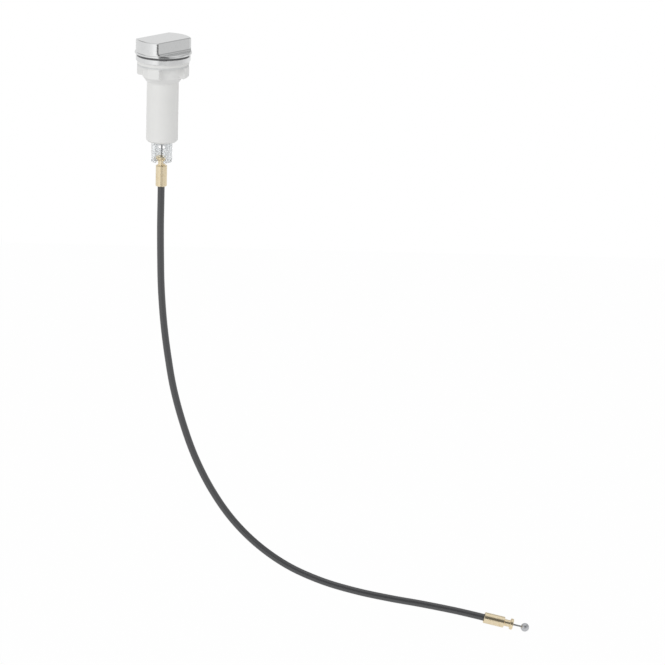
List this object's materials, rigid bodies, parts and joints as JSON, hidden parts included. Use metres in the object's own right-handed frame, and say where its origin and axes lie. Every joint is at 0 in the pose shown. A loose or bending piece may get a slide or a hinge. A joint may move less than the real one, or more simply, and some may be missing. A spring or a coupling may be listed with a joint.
{
  "type": "cable cistern actuator",
  "caption": "Turn-knob actuator for a panel: a cam in its white barrel pulls the inner wire of a sheathed cable that ends in a grooved ferrule and a ball.",
  "frame": {"origin": "on the barrel's axis, in the plane of the collar's underside, which seats on the panel", "axes": "+Z along the barrel's axis, out of the panel towards the knob; +X towards the side that the cable bends to"},
  "size_m": [0.3485, 0.0482, 0.517],
  "materials": {
    "knob_chrome": "bright plated, polished",
    "flange_chrome": "bright plated, polished",
    "steel": "bright drawn",
    "wire_steel": "stranded, lightly greased",
    "ball_steel": "turned, satin",
    "nipple_zinc": "cast, dull",
    "brass": "turned, bright",
    "white_plastic": "moulded, satin",
    "nut_plastic": "moulded, satin",
    "natural_plastic": "moulded acetal",
    "carriage_plastic": "moulded acetal",
    "clear_plastic": "clear, faintly blue",
    "dark_plastic": "low-friction",
    "sheath_black": "extruded, satin",
    "seal_rubber": "greased",
    "gasket_rubber": "pale, matt"
  },
  "bodies": {
    "fixed": {"housing": "white_plastic", "cover_flange": "flange_chrome", "glide_ring": "dark_plastic", "spindle_retainer": "steel", "panel_gasket": "gasket_rubber", "clamping_nut": "nut_plastic", "cable_socket": "clear_plastic", "upper_ferrule": "brass", "cable_sheath": "sheath_black", "lower_ferrule": "brass"},
    "turning": {"knob": "knob_chrome", "knob_clip": "steel", "cam_spindle": "natural_plastic", "shaft_seal": "seal_rubber"},
    "lifting": {"carriage": "carriage_plastic", "cross_pin": "steel", "wire_nipple": "nipple_zinc", "upper_wire": "wire_steel", "return_spring": "steel"},
    "pulled": {"lower_wire": "wire_steel", "ball_end": "ball_steel"}
  },
  "joints": [
    {"name": "knob_turn", "type": "hinge", "parent": "fixed", "child": "turning", "pos_m": [0, 0, 0], "axis": [0, 0, -1], "range_deg": [0, 60], "stiffness_Nm_per_rad": 0.028, "springref_deg": -163.29},
    {"name": "carriage_rise", "type": "slide", "parent": "fixed", "child": "lifting", "axis": [0, 0, 1], "range_m": [0, 0.006], "deforming": ["return_spring"]},
    {"name": "ball_draw", "type": "slide", "parent": "fixed", "child": "pulled", "axis": [-0.9752, 0, 0.2213], "range_m": [0, 0.006]}
  ],
  "couplings": [
    {"joint": "knob_turn", "follows": "carriage_rise", "rad_per_m": 174.53},
    {"joint": "ball_draw", "follows": "carriage_rise", "ratio": 1}
  ]
}
